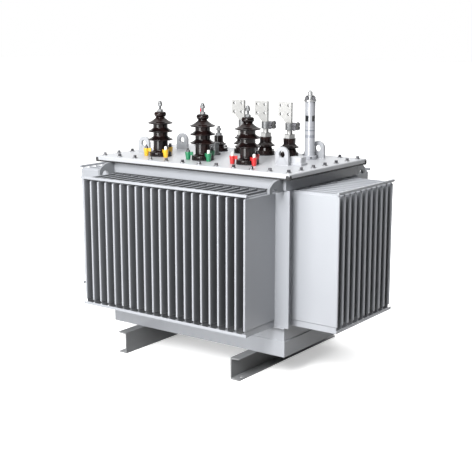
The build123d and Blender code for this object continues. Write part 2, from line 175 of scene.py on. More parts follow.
def make_piece(name, surface, material, stands_for=(), crisp=32, drawn_outwards=False):
    """A Blender object from a surface, riding on the body, with its material. It stands for the CAD nodes
    named in stands_for, and its edges past the crisp angle, in degrees, stay sharp."""
    points, faces = surface
    mesh = bpy.data.meshes.new(name)
    mesh.vertices.add(len(points))
    mesh.vertices.foreach_set("co", np.ascontiguousarray(points, np.float32).ravel())
    mesh.loops.add(faces.size)
    mesh.loops.foreach_set("vertex_index", np.ascontiguousarray(faces, np.int32).ravel())
    mesh.polygons.add(len(faces))
    mesh.polygons.foreach_set("loop_start", np.arange(0, faces.size, 4, dtype=np.int32))
    mesh.update(calc_edges=True)
    work = bmesh.new()
    work.from_mesh(mesh)
    bmesh.ops.remove_doubles(work, verts=work.verts, dist=same_place)
    bmesh.ops.dissolve_degenerate(work, edges=work.edges, dist=same_place)
    if not drawn_outwards:
        bmesh.ops.recalc_face_normals(work, faces=work.faces)
    work.to_mesh(mesh)
    work.free()
    mesh.polygons.foreach_set("use_smooth", np.ones(len(mesh.polygons), bool))
    mesh.set_sharp_from_angle(angle=math.radians(crisp))
    piece = bpy.data.objects.new(name, mesh)
    bpy.context.scene.collection.objects.link(piece)
    mesh.materials.append(material)
    weighted = piece.modifiers.new("flat faces stay flat", "WEIGHTED_NORMAL")
    weighted.keep_sharp = True
    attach(piece, "root")
    if stands_for:
        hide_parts(*stands_for)
    print(name, "has", sum(len(face.vertices) - 2 for face in mesh.polygons), "triangles")
    return piece


# %% [markdown]
# ## Soft corners
#
# Nothing on a real machine is perfectly sharp. A corner of a drawn outline is replaced by a small parabola.
# It starts a little before the corner, is pulled towards it and ends a little after it. Because it never
# reaches past half of a side, it works on any outline, and on a whole stack of outlines at once.

# %% Rounded outlines and turned forms


def rounded(outline, radius, steps=4):
    """Corner P becomes (1-t)^2 A + 2t(1-t) P + t^2 C, with A and C one radius before and after P. It works
    on the last two axes of an array of open outlines, and the two ends stay as they are."""
    outline = np.asarray(outline, float)
    corner = outline[..., 1:-1, :]
    t = np.linspace(0, 1, steps)[:, None]
    reach = []
    for side in (outline[..., :-2, :] - corner, outline[..., 2:, :] - corner):
        length = np.maximum(np.linalg.norm(side, axis=-1, keepdims=True), 1e-9)
        reach.append((corner + side * np.minimum(radius / length, 0.5))[..., None, :])
    curve = (1 - t) ** 2 * reach[0] + 2 * t * (1 - t) * corner[..., None, :] + t ** 2 * reach[1]
    curve = curve.reshape(*outline.shape[:-2], -1, 2)
    return np.concatenate([outline[..., :1, :], curve, outline[..., -1:, :]], -2)


def turned(profile, sides=40):
    """Surface of revolution of a profile (r, z): x = r cos a, y = r sin a, z = z."""
    angle = np.linspace(0, 2 * np.pi, sides, endpoint=False)[:, None]
    radius, height = np.asarray(profile, float).T
    grid = [radius * np.cos(angle), radius * np.sin(angle), height + 0 * angle]
    return sheet(np.stack(grid, -1), wrap_u=True)


disc_outline = [(0, 0), (13, 0), (13, 2.5), (0, 2.5)]
print("a disc's outline of 4 points becomes one of", len(rounded(disc_outline, 0.5)))

# %% [markdown]
# ## Hexagons and threads
#
# A hexagon is also a turned form whose radius depends on the angle: the flat's distance divided by the
# cosine of the angle from the middle of that flat. The chamfer on a bolt head is a cone that cuts the
# corners lower than the flats. A thread is a turned form too: its radius rises and falls with height
# minus one pitch per turn, which winds the ridge round the rod.

# %% Hexagon heads
head_points, head_chamfer, head_top_share = 36, math.radians(30), 0.97


def hex_head(flats, height):
    """Radius (flats/2) / cos(angle from a flat's middle); the top corners are cut by a 30 degree cone."""
    angle = np.linspace(0, 2 * np.pi, head_points, endpoint=False)[:, None]
    apothem = flats / 2
    to_flat = (angle + np.pi / 6) % (np.pi / 3) - np.pi / 6
    corner = apothem / np.cos(to_flat)
    cut = (corner - apothem) * math.tan(head_chamfer)
    zero = 0 * angle
    radius = np.hstack([zero, corner, corner, zero + apothem * head_top_share, zero])
    level = np.hstack([zero, zero, height - cut, zero + height, zero + height])
    return sheet(np.stack([radius * np.cos(angle), radius * np.sin(angle), level], -1), wrap_u=True)


print("a bolt head has", len(hex_head(19, 8)[1]), "faces")

# %% Threads and washers
thread_depth_share = 0.35


def threaded_rod(radius, z_low, z_high, pitch=2.0, sides=20, per_pitch=4):
    """Radius = r - d |2 f - 1|, where f is the fraction of (z / pitch - angle / 2 pi) and d the thread's
    depth; the ends close."""
    angle = np.linspace(0, 2 * np.pi, sides, endpoint=False)[:, None]
    height = np.linspace(z_low, z_high, int((z_high - z_low) / pitch * per_pitch) + 1)
    fraction = (height / pitch - angle / (2 * np.pi)) % 1.0
    along = radius - thread_depth_share * pitch * np.abs(2 * fraction - 1)
    radii = np.hstack([0 * angle, along, 0 * angle])
    levels = np.hstack([z_low + 0 * angle, height + 0 * angle, z_high + 0 * angle])
    return sheet(np.stack([radii * np.cos(angle), radii * np.sin(angle), levels], -1), wrap_u=True)


def washer(radius, z_low, thickness):
    """A flat disc with softened edges."""
    outline = [(0, z_low), (radius, z_low), (radius, z_low + thickness), (0, z_low + thickness)]
    return turned(rounded(outline, thickness * 0.3, 3), 28)


print("a washer has", len(washer(13, 0, 2.5)[1]), "faces")

# %% Units and heights


def millimetres(surface):
    """The same surface, read as millimetres and given in metres."""
    return surface[0] * MM, surface[1]


def raised(surface, height):
    """The same surface, moved up."""
    return surface[0] + np.array([0, 0, height]), surface[1]


raised_washer = raised(washer(13, 0, 2.5), 10)
print("a washer raised by 10 mm reaches", round(millimetres(raised_washer)[0][:, 2].max(), 4), "m")

# %% [markdown]
# ## Paint that isn't perfectly even
#
# Sprayed enamel on sheet steel has a fine orange-peel surface and a tone that drifts slightly over a large
# plate. Each material could hold its own noise, but both effects are the same for every painted piece, so
# they live in one node group with named inputs. It gives out a colour, a roughness and a normal, and each
# material keeps its own shader.

# %% Groups and nodes


def new_group(name, inputs, outputs):
    """An empty shader group with its named sockets, and its two end nodes."""
    group = bpy.data.node_groups.new(name, "ShaderNodeTree")
    for label, kind, value in inputs:
        made = group.interface.new_socket(name=label, in_out="INPUT", socket_type=kind)
        made.default_value = value
    for label, kind in outputs:
        group.interface.new_socket(name=label, in_out="OUTPUT", socket_type=kind)
    return group, group.nodes.new("NodeGroupInput"), group.nodes.new("NodeGroupOutput")


def node(tree, kind, links=(), **settings):
    """A node with its properties set and its inputs linked or filled, by socket name or number."""
    made = tree.nodes.new(kind)
    for key, value in settings.items():
        setattr(made, key, value)
    for socket, value in links:
        if isinstance(value, bpy.types.NodeSocket):
            tree.links.new(value, made.inputs[socket])
        else:
            made.inputs[socket].default_value = value
    return made


print("a group is made with new_group(name, inputs, outputs), a node with node(tree, kind, links)")

# %% The enamel group
enamel, given, result = new_group(
    "sprayed_enamel",
    [("Paint", "NodeSocketColor", (0.6, 0.6, 0.6, 1)), ("Drift", "NodeSocketFloat", 0.05),
     ("Gloss spread", "NodeSocketFloat", 0.08), ("Base roughness", "NodeSocketFloat", 0.35),
     ("Peel height", "NodeSocketFloat", 0.05)],
    [("Color", "NodeSocketColor"), ("Roughness", "NodeSocketFloat"), ("Normal", "NodeSocketVector")])
place = node(enamel, "ShaderNodeTexCoord").outputs["Object"]
clouds = node(enamel, "ShaderNodeTexNoise", [("Vector", place), ("Scale", 3.5), ("Detail", 3.0)])
drift = node(enamel, "ShaderNodeMath", [(0, clouds.outputs["Fac"]), (1, 0.5)], operation="SUBTRACT")
drift = node(enamel, "ShaderNodeMath", [(0, drift.outputs[0]), (1, given.outputs["Drift"])],
             operation="MULTIPLY")
tone = node(enamel, "ShaderNodeMath", [(0, drift.outputs[0]), (1, 1.0)], operation="ADD")
tinted = node(enamel, "ShaderNodeVectorMath", [(0, given.outputs["Paint"])], operation="SCALE")
enamel.links.new(tone.outputs[0], tinted.inputs["Scale"])
spread = node(enamel, "ShaderNodeTexNoise", [("Vector", place), ("Scale", 22.0), ("Detail", 4.0)])
rough = node(enamel, "ShaderNodeMath", [(0, spread.outputs["Fac"]), (1, given.outputs["Gloss spread"])],
             operation="MULTIPLY")
rough = node(enamel, "ShaderNodeMath", [(0, rough.outputs[0]), (1, given.outputs["Base roughness"])],
             operation="ADD")
peel = node(enamel, "ShaderNodeTexNoise", [("Vector", place), ("Scale", 260.0), ("Detail", 1.0)])
bump = node(enamel, "ShaderNodeBump", [("Strength", given.outputs["Peel height"]),
                                       ("Distance", 0.0006), ("Height", peel.outputs["Fac"])])
enamel.links.new(tinted.outputs[0], result.inputs["Color"])
enamel.links.new(rough.outputs[0], result.inputs["Roughness"])
enamel.links.new(bump.outputs[0], result.inputs["Normal"])
print("group", enamel.name, "with inputs", [s.name for s in given.outputs if s.name])

# %% [markdown]
# ## Paints
#
# The tank, cover, skids and claws are enamel over steel or iron. One function makes them all: it places
# the group, gives it this paint's own values and wires it into a Principled shader. The gloss coat is the
# same over the whole piece, so it is set on the shader itself.

# %% Painted materials


def painted(name, colour, roughness=0.34, drift=0.06, spread=0.1, peel=0.25, coat=0.0):
    """Sprayed enamel of one colour."""
    material = bpy.data.materials.new(name)
    material.use_nodes = True
    tree = material.node_tree
    shader = tree.nodes["Principled BSDF"]
    spray = node(tree, "ShaderNodeGroup", node_tree=enamel)
    for label, value in (("Paint", (*colour, 1)), ("Drift", drift), ("Gloss spread", spread),
                         ("Base roughness", roughness), ("Peel height", peel)):
        spray.inputs[label].default_value = value
    tree.links.new(spray.outputs["Color"], shader.inputs["Base Color"])
    tree.links.new(spray.outputs["Roughness"], shader.inputs["Roughness"])
    tree.links.new(spray.outputs["Normal"], shader.inputs["Normal"])
    shader.inputs["Coat Weight"].default_value = coat
    shader.inputs["Coat Roughness"].default_value = 0.12
    return material


tank_colour = (0.34, 0.353, 0.378)
paints = {
    "tank_paint": painted("tank_enamel", tank_colour),
    "cover_paint": painted("cover_enamel", (0.42, 0.43, 0.45), roughness=0.3),
    # The skids' paint is darker than the tank's: painted shade for the shade under the tank.
    "skid_paint": painted("skid_enamel_painted_shade", (0.20, 0.205, 0.21), roughness=0.42),
    "claw_yellow": painted("claw_yellow_enamel", (0.66, 0.38, 0.015), roughness=0.25, coat=0.5),
    "claw_green": painted("claw_green_enamel", (0.009, 0.17, 0.07), roughness=0.25, coat=0.5),
    "claw_red": painted("claw_red_enamel", (0.47, 0.015, 0.015), roughness=0.25, coat=0.5),
}
print("paints:", sorted(paints))

# %% [markdown]
# ## Metal, rubber and glaze
#
# Plated metal has faint stains, which darken it a little and make it duller. Small fasteners are oiled black.
# The flags are tinned, and their rims and the walls of their holes get painted shade: darker metal than their
# faces. Rubber is plain and dull. Brown porcelain glaze is a thin glass over a dark body: nearly black where
# it is thick, redder where it runs thin, and very smooth, so it mirrors the lamps sharply.

# %% The plating group
plating, given, result = new_group(
    "plating_stains",
    [("Metal", "NodeSocketColor", (0.6, 0.6, 0.6, 1)), ("Base roughness", "NodeSocketFloat", 0.3),
     ("Stain", "NodeSocketFloat", 0.2)],
    [("Color", "NodeSocketColor"), ("Roughness", "NodeSocketFloat")])
place = node(plating, "ShaderNodeTexCoord").outputs["Object"]
stains = node(plating, "ShaderNodeTexNoise", [("Vector", place), ("Scale", 70.0), ("Detail", 5.0)])
amount = node(plating, "ShaderNodeMath", [(0, stains.outputs["Fac"]), (1, given.outputs["Stain"])],
              operation="MULTIPLY")
kept = node(plating, "ShaderNodeMath", [(0, 1.0), (1, amount.outputs[0])], operation="SUBTRACT")
shade = node(plating, "ShaderNodeVectorMath", [(0, given.outputs["Metal"])], operation="SCALE")
plating.links.new(kept.outputs[0], shade.inputs["Scale"])
rough = node(plating, "ShaderNodeMath", [(0, amount.outputs[0]), (1, given.outputs["Base roughness"])],
             operation="ADD")
plating.links.new(shade.outputs[0], result.inputs["Color"])
plating.links.new(rough.outputs[0], result.inputs["Roughness"])
print("group", plating.name, "with inputs", [s.name for s in given.outputs if s.name])

# %% Plated and plain finishes


def plated(name, colour, roughness, stain, metallic=1.0):
    """Bare or plated metal."""
    material = bpy.data.materials.new(name)
    material.use_nodes = True
    tree = material.node_tree
    shader = tree.nodes["Principled BSDF"]
    skin = node(tree, "ShaderNodeGroup", node_tree=plating)
    skin.inputs["Metal"].default_value = (*colour, 1)
    skin.inputs["Base roughness"].default_value = roughness
    skin.inputs["Stain"].default_value = stain
    tree.links.new(skin.outputs["Color"], shader.inputs["Base Color"])
    tree.links.new(skin.outputs["Roughness"], shader.inputs["Roughness"])
    shader.inputs["Metallic"].default_value = metallic
    return material


def plain(name, colour, roughness):
    """One even colour and roughness."""
    material = bpy.data.materials.new(name)
    material.use_nodes = True
    shader = material.node_tree.nodes["Principled BSDF"]
    shader.inputs["Base Color"].default_value = (*colour, 1)
    shader.inputs["Roughness"].default_value = roughness
    return material


def painted_edge_shade(material, face_axis, darkness):
    """Painted shade: darker metal wherever the surface doesn't face along an axis, on the rims and the walls
    of holes.
    """
    tree = material.node_tree
    shader = tree.nodes["Principled BSDF"]
    skin = shader.inputs["Base Color"].links[0].from_socket
    facing = node(tree, "ShaderNodeTexCoord").outputs["Normal"]
    along = node(tree, "ShaderNodeVectorMath", [(0, facing), (1, face_axis)], operation="DOT_PRODUCT")
    size = node(tree, "ShaderNodeMath", [(0, along.outputs["Value"])], operation="ABSOLUTE")
    kept = node(tree, "ShaderNodeMapRange", [("Value", size.outputs[0]), ("From Min", 0.3),
                                             ("From Max", 0.8), ("To Min", darkness), ("To Max", 1.0)])
    shade = node(tree, "ShaderNodeVectorMath", [(0, skin)], operation="SCALE")
    tree.links.new(kept.outputs["Result"], shade.inputs["Scale"])
    tree.links.new(shade.outputs[0], shader.inputs["Base Color"])
    return material


print("a finish is made with painted, plated or plain, and painted_edge_shade darkens its rims")

# %% The bare materials
zinc = plated("zinc_plate", (0.40, 0.405, 0.41), roughness=0.26, stain=0.25)
dull_zinc = plated("dull_zinc", (0.22, 0.225, 0.23), roughness=0.32, stain=0.3, metallic=0.8)
tinned_sheet = plated("tinned_brass_edge_shade", (0.45, 0.45, 0.44), roughness=0.36, stain=0.14, metallic=0.3)
# The flags' rims and hole walls are darkened here: painted shade.
tinned = painted_edge_shade(tinned_sheet, face_axis=(0, 1, 0), darkness=0.25)
blackened = plated("blackened_steel", (0.13, 0.13, 0.14), roughness=0.3, stain=0.2)
rubber = plain("gasket_rubber", (0.012, 0.012, 0.013), 0.62)
sight_glass = plain("sight_glass", (0.006, 0.007, 0.008), 0.35)
nylon_cap = plain("white_nylon", (0.78, 0.78, 0.74), 0.35)
red_tag = plain("red_tag", (0.62, 0.02, 0.05), 0.4)
print("bare materials:", [m.name for m in (zinc, dull_zinc, tinned, blackened, rubber, sight_glass,
                                           nylon_cap, red_tag)])

# %% Brown glaze


def glazed(name, thick, thin):
    """Dark glaze whose thin places show the redder body."""
    material = bpy.data.materials.new(name)
    material.use_nodes = True
    tree = material.node_tree
    shader = tree.nodes["Principled BSDF"]
    place = node(tree, "ShaderNodeTexCoord").outputs["Object"]
    runs = node(tree, "ShaderNodeTexNoise", [("Vector", place), ("Scale", 24.0), ("Detail", 3.0)])
    share = node(tree, "ShaderNodeMapRange", [("Value", runs.outputs["Fac"]), ("From Min", 0.42),
                                              ("From Max", 0.72)])
    mix = node(tree, "ShaderNodeMix", [(0, share.outputs["Result"]), (6, (*thick, 1)),
                                       (7, (*thin, 1))], data_type="RGBA")
    tree.links.new(mix.outputs[2], shader.inputs["Base Color"])
    shader.inputs["Roughness"].default_value = 0.09
    shader.inputs["Specular IOR Level"].default_value = 0.22
    return material


glaze = glazed("brown_glaze", (0.005, 0.0033, 0.0035), (0.017, 0.008, 0.007))
print("made", glaze.name)

# %% [markdown]
# ## The gauge's printed bands
#
# The oil gauge is a painted tube with a few grey bands round it. A band is not a piece: it is a change of
# colour between two heights, so the material asks Object coordinates how high a point is, and mixes in
# the grey wherever the height lies inside a band.

# %% Gauge paint with bands


def banded_paint(base_z, bands, paint, ink):
    """Enamel with level bands; each band is (low, high, strength) in millimetres above the base."""
    material = painted("gauge_enamel", paint, roughness=0.24, coat=0.3)
    tree = material.node_tree
    shader = tree.nodes["Principled BSDF"]
    spray_colour = shader.inputs["Base Color"].links[0].from_socket
    place = node(tree, "ShaderNodeTexCoord").outputs["Object"]
    height = node(tree, "ShaderNodeSeparateXYZ", [("Vector", place)]).outputs["Z"]
    cover = None
    for low, high, strength in bands:
        middle, half = base_z + (low + high) / 2 * MM, (high - low) / 2 * MM
        inside = node(tree, "ShaderNodeMath", [(0, height), (1, middle), (2, half)], operation="COMPARE")
        share = node(tree, "ShaderNodeMath", [(0, inside.outputs[0]), (1, strength)],
                     operation="MULTIPLY").outputs[0]
        if cover is not None:
            share = node(tree, "ShaderNodeMath", [(0, share), (1, cover)], operation="MAXIMUM").outputs[0]
        cover = share
    mix = node(tree, "ShaderNodeMix", [(0, cover), (6, spray_colour), (7, (*ink, 1))], data_type="RGBA")
    tree.links.new(mix.outputs[2], shader.inputs["Base Color"])
    return material


gauge_bands = [(147, 150, 0.45), (130, 135, 0.75), (99, 113, 0.5)]
gauge_paint = banded_paint(cover_top, gauge_bands, (0.33, 0.34, 0.365), (0.10, 0.11, 0.14))
print("gauge bands:", len(gauge_bands))

# %% [markdown]
# ## Finishes for the CAD nodes
#
# The record names a finish for every node, so the materials are handed out from that list. Only the material
# slots change. Two families get a coat of their own: the lifting lugs look a little darker than the cover
# they stand on, and the lashing hooks get a coat darker than the tank, which is painted shade for the shade
# under the cover's lip. The meshes stay as the CAD made them, with two modifiers on top: Weld joins the loose
# triangles, and Bevel softens the sharp edges so that they catch the light as sheared and rolled steel does.

# %% Hand out the finishes
finishes = {**paints, "gasket_rubber": rubber, "brown_glaze": glaze, "zinc": dull_zinc, "tinned_flag": tinned,
            "gauge_metal": gauge_paint}
# The hooks' darker coat is painted shade, not a different paint.
lug_coat_and_hook_shade = {"lifting_lug": painted("lug_enamel", (0.35, 0.36, 0.38)),
                "lashing_hook": painted("hook_painted_shade", (0.22, 0.23, 0.245))}
for part in frame["record"]["subparts"]:
    mesh = frame["nodes"][part["node"]].data
    family = part["node"].rsplit("_", 2)[0]
    mesh.materials.clear()
    mesh.materials.append(lug_coat_and_hook_shade.get(family, finishes[part["material_slot"]]))


joining_distance = 1e-5
softened_angle = math.radians(40)


def soften(name, width):
    """Weld and Bevel on a CAD node; the width is in millimetres."""
    target = frame["nodes"][name]
    weld = target.modifiers.new("join triangles", "WELD")
    weld.merge_threshold = joining_distance
    bevel = target.modifiers.new("soft edges", "BEVEL")
    bevel.width = width * MM
    bevel.segments = 2
    bevel.limit_method = "ANGLE"
    bevel.angle_limit = softened_angle


edge_widths = {"skid_left": 1.5, "skid_right": 1.5, "base_frame": 1.2, "top_frame": 1.2, "cover": 0.8,
               "thermometer_pocket": 1.5, "gauge_tube": 0.8, "tap_changer": 0.8}
edge_widths.update({f"lifting_lug_{corner}": 1.5 for corner in corners})
edge_widths.update({f"lashing_hook_{corner}": 1.2 for corner in corners})
edge_widths.update({f"corner_post_{corner}": 0.8 for corner in corners})
edge_widths.update({f"hv_claws_{phase}": 2.0 for phase in phases})
edge_widths.update({f"lv_flag_terminal_{phase}": 0.8 for phase in phases})
for name, width in edge_widths.items():
    soften(name, width)
print("softened", len(edge_widths), "nodes and painted", len(frame["nodes"]))

# %% [markdown]
# ## The corrugated walls
#
# On the real tank each wall is one long sheet, folded into deep narrow fins that the oil flows through.
# At the top and bottom of each fin the two sides are pressed together and welded shut, and the pressed seam
# stands back a little from the fold. It could be made from twenty-one boxes, but a box has no fold. Here
# the wall is one surface of two parameters: one runs along the folded sheet in plan, the other up the
# height. Along the height three numbers change: how wide a fin is open, how far it reaches, and how far the
# sheet's rim is turned back. The top row joins the bottom row again, which gives the sheet a flat back, and
# each end runs together in one point, which closes it. The grid is drawn upwards and then to the right, so
# its faces look inwards and it is turned over.

# %% The folded sheet
sheet_thickness = 4.0
fin_opening = 10.0
pressed_thickness = 3.0
seam_below, seam_above, shoulder_height = 25.0, 6.0, 5.0
seam_setback = 6.0
plain_above_fins = 5.0
fold_radius = 5.0
shoulder = np.linspace(0, 1, 6)


def corrugated_wall(length, pitch, depth, z_low, z_top):
    """Point (x, y, z) of the folded sheet: x = fin middle -/+ w(z), y = 0 at the root and -depth r(z) at
    the fold. The half width w is even over a pressed seam, then opens over its shoulder as 3 t^2 - 2 t^3,
    and the reach r rises from 1 - setback / depth to 1 in the same way."""
    count = int((length - fin_opening) // pitch) + 1
    middle = (np.arange(count) - (count - 1) / 2) * pitch
    z_high = z_top - plain_above_fins
    eased = shoulder ** 2 * (3 - 2 * shoulder)
    opening = (pressed_thickness + (fin_opening - pressed_thickness) * eased) / 2
    opens, closes = (z_low + seam_below + shoulder * shoulder_height,
                     z_high - seam_above - shoulder[::-1] * shoulder_height)
    seam = [pressed_thickness / 2]
    level = np.concatenate([[z_low] * 4, opens, closes, [z_high] * 3, [z_top] * 2])
    width = np.concatenate([[0] * 3, seam, opening, opening[::-1], seam, [0] * 4])
    set_back = 1 - seam_setback / depth * (1 - eased)
    seam_reach = [set_back[0]]
    reach = np.concatenate([[0] * 2, seam_reach * 2, set_back, set_back[::-1], seam_reach * 2, [0] * 3])
    back = np.zeros(len(level))
    back[[0, -1]] = sheet_thickness
    side = np.array([-1, -1, 1, 1])
    out = np.array([0, -1, -1, 0])
    x = middle[None, :, None] + side * width[:, None, None]
    y = depth * out * reach[:, None, None] + back[:, None, None] + 0 * x
    plan = np.stack([x, y], -1).reshape(len(level), -1, 2)
    ends = np.stack([np.stack([np.full(len(level), s * length / 2), back], -1) for s in (-1, 1)], 1)
    plan = rounded(np.concatenate([ends[:, :1], plan, ends[:, 1:]], 1), fold_radius)
    heights = np.broadcast_to(level[:, None, None], (*plan.shape[:2], 1))
    grid = np.concatenate([plan, heights], -1)
    poles = np.broadcast_to(grid[0, [0, -1]], (len(level), 2, 3))
    return turned_over(sheet(np.concatenate([poles[:, :1], grid, poles[:, 1:]], 1), wrap_u=True))


four_fins = corrugated_wall(length=150.0, pitch=45.0, depth=100.0, z_low=0.0, z_top=300.0)
print("a wall of four fins has", len(four_fins[1]), "faces")

# %% [markdown]
# ## Paint in the gaps
# ## Painted shade in the gaps
# Deep in the gaps the paint is darkened as painted shade, on top of the shade that the fins cast. So the
# material measures how deep a point lies behind the outer folds and lets the paint fade to a share of its
# tone with the exponential of that depth. The outer sides of the end fins lie open, so they keep the full
# tone.

# %% Painted shade in the gaps


def gap_painted_shade(name, axis, folds_at, open_from, share_left, fade, top=None):
    """Painted shade: enamel times s + (1 - s) exp(-depth / fade) between the end fins, with s the share left.
    Depth is measured along an axis, 0 (X) or 1 (Y), or down from the top if one is given, whichever is less."""
    material = painted(name, tank_colour)
    tree = material.node_tree
    shader = tree.nodes["Principled BSDF"]
    spray_colour = shader.inputs["Base Color"].links[0].from_socket
    place = node(tree, "ShaderNodeTexCoord").outputs["Object"]
    parts = node(tree, "ShaderNodeSeparateXYZ", [("Vector", place)])

    def sized(socket):
        """A coordinate without its sign, so that opposite walls share the measure."""
        return node(tree, "ShaderNodeMath", [(0, parts.outputs[socket])], operation="ABSOLUTE").outputs[0]

    depth = node(tree, "ShaderNodeMath", [(0, sized(axis)), (1, folds_at * MM)], operation="SUBTRACT")
    if top is not None:
        below = node(tree, "ShaderNodeMath", [(0, parts.outputs["Z"]), (1, top * MM)],
                     operation="SUBTRACT")
        depth = node(tree, "ShaderNodeMath", [(0, depth.outputs[0]), (1, below.outputs[0])],
                     operation="MAXIMUM")
    faded = node(tree, "ShaderNodeMath", [(0, depth.outputs[0]), (1, fade * MM)], operation="DIVIDE")
    faded = node(tree, "ShaderNodeMath", [(0, faded.outputs[0])], operation="EXPONENT", use_clamp=True)
    lost = node(tree, "ShaderNodeMath", [(0, 1.0), (1, faded.outputs[0])], operation="SUBTRACT")
    lost = node(tree, "ShaderNodeMath", [(0, lost.outputs[0]), (1, 1 - share_left)], operation="MULTIPLY")
    inside = node(tree, "ShaderNodeMath", [(0, sized(1 - axis)), (1, open_from * MM)],
                  operation="LESS_THAN")
    lost = node(tree, "ShaderNodeMath", [(0, lost.outputs[0]), (1, inside.outputs[0])],
                operation="MULTIPLY")
    kept = node(tree, "ShaderNodeMath", [(0, 1.0), (1, lost.outputs[0])], operation="SUBTRACT")
    shade = node(tree, "ShaderNodeVectorMath", [(0, spray_colour)], operation="SCALE")
    tree.links.new(kept.outputs[0], shade.inputs["Scale"])
    tree.links.new(shade.outputs[0], shader.inputs["Base Color"])
    return material


gap_shade_tones = {"front": (0.27, 14.0), "rear": (0.27, 14.0), "right": (0.4, 18.0), "left": (0.4, 18.0)}
print("in the gaps the paint keeps these shares of its tone:", {b: t[0] for b, t in gap_shade_tones.items()})

# %% Fold the four walls


def outward(angle):
    """The direction that -Y turns to."""
    return np.array([math.sin(angle), -math.cos(angle)])


fin_pitches = {"front": 45.0, "rear": 45.0, "right": 46.0, "left": 46.0}
wall_turns = {"front": 0.0, "right": math.pi / 2, "rear": math.pi, "left": -math.pi / 2}
fin_banks = {}
for bank, turn in wall_turns.items():
    low, high = low_corner(f"fin_wall_{bank}") / MM, high_corner(f"fin_wall_{bank}") / MM
    away = outward(turn)
    spans = sorted([float(low[:2] @ away), float(high[:2] @ away)])
    across = np.abs(high[:2] - low[:2]) @ np.abs(away[::-1])
    depth = spans[1] - spans[0] - sheet_thickness
    wall = corrugated_wall(across, fin_pitches[bank], depth, low[2], high[2])
    face = away * (spans[0] + sheet_thickness)
    standing = copies(wall, [face[0], face[1], 0.0], turn)
    end_fin = ((across - fin_opening) // fin_pitches[bank]) / 2 * fin_pitches[bank]
    tone, fade = gap_shade_tones[bank]
    on_end = abs(away[0]) > 0.5
    # Each bank's material darkens its gaps with depth: painted shade.
    shaded = gap_painted_shade(f"gap_shade_enamel_{bank}", int(not on_end), spans[1], end_fin, tone, fade,
                       high[2] - plain_above_fins if on_end else None)
    make_piece(f"corrugated_wall_{bank}", millimetres(standing), shaded,
               (f"fin_wall_{bank}",), crisp=50, drawn_outwards=True)
    fin_banks[bank] = (end_fin, depth, face, turn)
print("fins are folded to", fin_opening, "mm")

# %% [markdown]
# ## Corner plates
#
# Beside each end wall a flat plate covers the corner from the trough's rim to the upper band. Its free edge
# stands a little past the tank, so a dark slot shows between it and the first end fin. On the real tank it
# is a strip of sheet welded on flat. A cube with a Bevel modifier would do, but bars and strips of many
# sizes follow, and one formula makes them all: a rounded rectangle in plan, carried straight up.

# %% Plates over the four corners


def upright_plate(low, high, edge):
    """A rounded rectangle in plan, P(s), carried up: P = middle + f(z) (P(s) - middle), where f is 0 at the
    closed ends, a little under 1 at their rims and 1 between."""
    middle, half = (low + high) / 2, (high - low) / 2
    around = np.array([(0, -1), (1, -1), (1, 1), (-1, 1), (-1, -1), (0, -1)]) * half[:2]
    plan = rounded(around, edge)[:-1]
    shrunk = 1 - edge / half[:2] / 2
    scale = np.array([(0, 0), shrunk, (1, 1), (1, 1), shrunk, (0, 0)])
    level = np.array([low[2], low[2], low[2] + edge, high[2] - edge, high[2], high[2]])
    flat = middle[:2] + scale[:, None] * plan[None]
    heights = np.broadcast_to(level[:, None, None], (*flat.shape[:2], 1))
    return sheet(np.concatenate([flat, heights], -1), wrap_v=True)


plate_reach, plate_back, plate_thickness = 22.0, 12.0, 5.0
plate_proud, plate_edge = 1.0, 1.2
plates = []
for corner in corners:
    low, high = low_corner(f"corner_post_{corner}") / MM, high_corner(f"corner_post_{corner}") / MM
    sx, sy = np.sign(low[:2] + high[:2])
    corner_x, corner_y = np.abs([low[:2], high[:2]]).max(0)
    span_x = np.sort(sx * np.array([corner_x - plate_back, corner_x + plate_reach]))
    plate_face = corner_y + plate_proud
    span_y = np.sort(sy * np.array([plate_face - plate_thickness, plate_face]))
    plates.append(upright_plate(np.array([span_x[0], span_y[0], low[2]]),
                                np.array([span_x[1], span_y[1], high[2]]), plate_edge))
make_piece("corner_plates", millimetres(joined(*plates)), paints["tank_paint"])

# %% [markdown]
# ## Tie strips
#
# Two flat bars run across the folds of each bank and stop the long sheets from rattling. The lower bar lies
# on the folds, the upper one on top of the fins, a little proud of the folds. Each is a rounded plate like
# the ones above. It is drawn as if on the front wall and then turned to its own wall, so that all four
# banks share one drawing.

# %% Bars across the fins
bar_past_end_fin, bar_proud, bar_edge = 13.5, 3.0, 1.0
fin_low = low_corner("fin_wall_front")[2] / MM
fin_high = high_corner("fin_wall_front")[2] / MM - plain_above_fins
lower_bar = {"foot": fin_low + 4.0, "head": fin_low + 16.0, "behind_fold": 0.5}
upper_bar = {"foot": fin_high - 0.5, "head": fin_high + 9.5, "behind_fold": 9.0}
bars = []
for end_fin, depth, face, turn in fin_banks.values():
    reach = end_fin + bar_past_end_fin
    for bar in (lower_bar, upper_bar):
        plate = upright_plate(np.array([-reach, -depth - bar_proud, bar["foot"]]),
                              np.array([reach, -depth + bar["behind_fold"], bar["head"]]), bar_edge)
        bars.append(copies(plate, [face[0], face[1], 0.0], turn))
make_piece("tie_bars", millimetres(joined(*bars)), paints["tank_paint"],
           ("fin_tie_strips",))

# %% [markdown]
# ## Weld beads
#
# The tank is welded: its bands to the sheet, the lugs to the cover, the hooks to the band, and each fin shut
# along its foot and head. It could be left out, but a seam without a bead looks glued. A bead is a small
# round section carried along a path. Its radius swells and narrows every few millimetres, which is the mark
# of the pool of metal moving on. The path is resampled to even steps first, so the ripples are even round
# corners too.

# %% A rippled bead along a path
bead_step = 2.5
ripple_length, ripple_share = 7.5, 0.14


def evenly(path):
    """The same path with points at even steps: each coordinate is interpolated over the length run."""
    path = np.asarray(path, float)
    run = np.concatenate([[0], np.cumsum(np.linalg.norm(np.diff(path, axis=0), axis=1))])
    at = np.linspace(0, run[-1], max(int(run[-1] / bead_step), 4))
    return np.stack([np.interp(at, run, path[:, axis]) for axis in range(3)], -1), at


